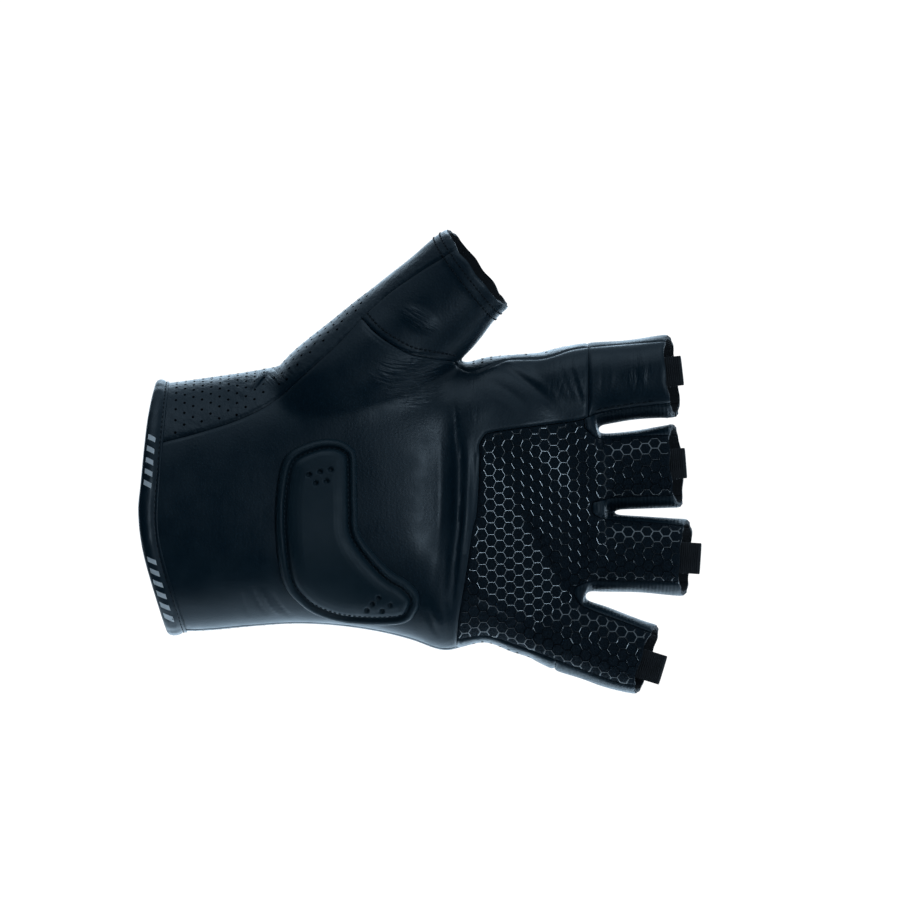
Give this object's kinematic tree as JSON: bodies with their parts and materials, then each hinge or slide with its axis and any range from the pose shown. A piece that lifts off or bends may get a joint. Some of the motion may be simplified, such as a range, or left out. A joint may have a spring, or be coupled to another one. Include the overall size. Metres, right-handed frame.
{
  "type": "short-finger motorcycle glove",
  "caption": "Left-hand short-finger leather motorcycle glove in its worn form, with moulded palm slider, grip-mesh panel, finger side strips, pull loops and bound cuff.",
  "frame": {"origin": "middle of the wrist opening, where the worn glove's cuff sits round the wrist", "axes": "+X along the fingers, +Z towards the thumb side, -Y out of the palm, +Y out of the back of the hand"},
  "size_m": [0.1734, 0.0472, 0.1438],
  "materials": {
    "smooth_leather": "fine-grained black leather, semi-matt",
    "perforated_leather": "black leather with small punched holes in staggered rows",
    "grip_fabric": "black fine-textured fabric with a glossy printed six-sided mesh",
    "binding_leather": "thin folded black leather with one stitch row",
    "slider_rubber": "satin black moulded rubber",
    "ribbon": "ribbed black ribbon"
  },
  "bodies": {
    "root": {"palm_panel": "smooth_leather", "thumb_front": "smooth_leather", "index_face": "smooth_leather", "index_back": "smooth_leather", "middle_back": "smooth_leather", "ring_back": "smooth_leather", "little_back": "smooth_leather", "fourchette_index_middle": "smooth_leather", "fourchette_middle_ring": "smooth_leather", "fourchette_ring_little": "smooth_leather", "back_panel": "perforated_leather", "grip_panel": "grip_fabric", "cuff_binding": "binding_leather", "palm_slider": "slider_rubber", "pull_tab_index": "ribbon", "pull_tab_middle": "ribbon", "pull_tab_ring": "ribbon", "pull_tab_little": "ribbon"}
  },
  "joints": []
}
